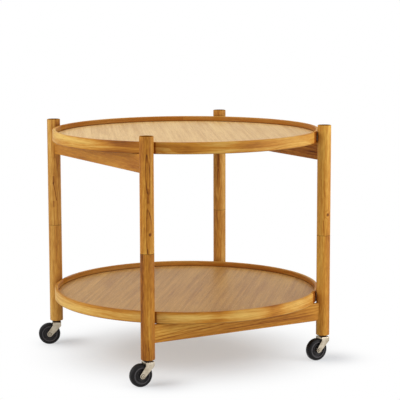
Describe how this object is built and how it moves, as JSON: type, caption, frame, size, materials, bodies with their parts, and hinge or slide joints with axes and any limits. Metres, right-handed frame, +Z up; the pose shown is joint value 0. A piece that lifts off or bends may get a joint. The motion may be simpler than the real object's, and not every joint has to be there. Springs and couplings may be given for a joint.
{
  "type": "round tray trolley",
  "caption": "Serving trolley with round wooden trays that lift off a folding oak frame on swivel casters.",
  "frame": {"origin": "on the floor, under the common centre of the two trays", "axes": "+Z up; +X to the right and +Y to the back, as seen from the front. The posts stand on the diagonals, the upper rails run along Y and the lower rails along X."},
  "size_m": [0.6, 0.6, 0.529],
  "materials": {
    "oak": "solid oak, honey-coloured, oiled",
    "oak_rim": "bent oak rim, oiled",
    "veneer": "oak veneer, clear satin lacquer",
    "steel": "nickel-plated steel",
    "dark_steel": "browned steel",
    "nylon": "moulded dark grey nylon",
    "rubber_tread": "black rubber"
  },
  "bodies": {
    "lower_frame_front": {"front_lower_rail": "oak", "front_left_lower_post": "oak", "front_right_lower_post": "oak", "front_left_caster_sleeve": "steel", "front_left_caster_stem": "steel", "front_left_caster_race": "dark_steel", "front_left_caster_balls": "steel", "front_left_swivel_pin": "steel", "front_left_swivel_washer": "dark_steel", "front_right_caster_sleeve": "steel", "front_right_caster_stem": "steel", "front_right_caster_race": "dark_steel", "front_right_caster_balls": "steel", "front_right_swivel_pin": "steel", "front_right_swivel_washer": "dark_steel"},
    "upper_frame_left": {"left_upper_rail": "oak", "front_left_upper_post": "oak", "back_left_upper_post": "oak"},
    "upper_frame_right": {"right_upper_rail": "oak", "front_right_upper_post": "oak", "back_right_upper_post": "oak"},
    "lower_frame_back": {"back_lower_rail": "oak", "back_left_lower_post": "oak", "back_right_lower_post": "oak", "back_left_caster_sleeve": "steel", "back_left_caster_stem": "steel", "back_left_caster_race": "dark_steel", "back_left_caster_balls": "steel", "back_left_swivel_pin": "steel", "back_left_swivel_washer": "dark_steel", "back_right_caster_sleeve": "steel", "back_right_caster_stem": "steel", "back_right_caster_race": "dark_steel", "back_right_caster_balls": "steel", "back_right_swivel_pin": "steel", "back_right_swivel_washer": "dark_steel"},
    "upper_tray": {"upper_tray_rim": "oak_rim", "upper_tray_panel": "veneer"},
    "lower_tray": {"lower_tray_rim": "oak_rim", "lower_tray_panel": "veneer"},
    "front_left_caster": {"front_left_caster_fork": "steel", "front_left_caster_axle": "steel"},
    "front_left_roller": {"front_left_caster_wheel": "nylon", "front_left_caster_tyre": "rubber_tread"},
    "front_right_caster": {"front_right_caster_fork": "steel", "front_right_caster_axle": "steel"},
    "front_right_roller": {"front_right_caster_wheel": "nylon", "front_right_caster_tyre": "rubber_tread"},
    "back_right_caster": {"back_right_caster_fork": "steel", "back_right_caster_axle": "steel"},
    "back_right_roller": {"back_right_caster_wheel": "nylon", "back_right_caster_tyre": "rubber_tread"},
    "back_left_caster": {"back_left_caster_fork": "steel", "back_left_caster_axle": "steel"},
    "back_left_roller": {"back_left_caster_wheel": "nylon", "back_left_caster_tyre": "rubber_tread"}
  },
  "joints": [
    {"name": "frame_fold", "type": "hinge", "parent": "lower_frame_front", "child": "upper_frame_left", "pos_m": [-0.2233, -0.2233, 0.283], "axis": [0, 0, 1], "range_deg": [-0.12, 0.12]},
    {"name": "right_fold", "type": "hinge", "parent": "lower_frame_front", "child": "upper_frame_right", "pos_m": [0.2233, -0.2233, 0.283], "axis": [0, 0, 1], "range_deg": [-0.12, 0.12]},
    {"name": "back_fold", "type": "hinge", "parent": "upper_frame_left", "child": "lower_frame_back", "pos_m": [-0.2233, 0.2233, 0.283], "axis": [0, 0, 1], "range_deg": [-0.12, 0.12]},
    {"name": "upper_tray_lift", "type": "slide", "parent": "lower_frame_front", "child": "upper_tray", "axis": [0, 0, 1], "range_m": [0, 0.06]},
    {"name": "lower_tray_lift", "type": "slide", "parent": "lower_frame_front", "child": "lower_tray", "axis": [0, 0, 1], "range_m": [0, 0.285]},
    {"name": "front_left_swivel", "type": "hinge", "parent": "lower_frame_front", "child": "front_left_caster", "pos_m": [-0.2233, -0.2233, 0.0525], "axis": [0, 0, 1], "continuous": true},
    {"name": "front_left_roll", "type": "hinge", "parent": "front_left_caster", "child": "front_left_roller", "pos_m": [-0.24026, -0.22212, 0.025], "axis": [-0.0698, -0.9976, 0], "continuous": true},
    {"name": "front_right_swivel", "type": "hinge", "parent": "lower_frame_front", "child": "front_right_caster", "pos_m": [0.2233, -0.2233, 0.0525], "axis": [0, 0, 1], "continuous": true},
    {"name": "front_right_roll", "type": "hinge", "parent": "front_right_caster", "child": "front_right_roller", "pos_m": [0.2063, -0.2233, 0.025], "axis": [0, -1, 0], "continuous": true},
    {"name": "back_right_swivel", "type": "hinge", "parent": "lower_frame_back", "child": "back_right_caster", "pos_m": [0.2233, 0.2233, 0.0525], "axis": [0, 0, 1], "continuous": true},
    {"name": "back_right_roll", "type": "hinge", "parent": "back_right_caster", "child": "back_right_roller", "pos_m": [0.20635, 0.22449, 0.025], "axis": [-0.0698, -0.9976, 0], "continuous": true},
    {"name": "back_left_swivel", "type": "hinge", "parent": "lower_frame_back", "child": "back_left_caster", "pos_m": [-0.2233, 0.2233, 0.0525], "axis": [0, 0, 1], "continuous": true},
    {"name": "back_left_roll", "type": "hinge", "parent": "back_left_caster", "child": "back_left_roller", "pos_m": [-0.23907, 0.22967, 0.025], "axis": [-0.3746, -0.9272, 0], "continuous": true}
  ],
  "couplings": [
    {"joint": "right_fold", "follows": "frame_fold", "ratio": 1},
    {"joint": "back_fold", "follows": "frame_fold", "ratio": -1}
  ]
}
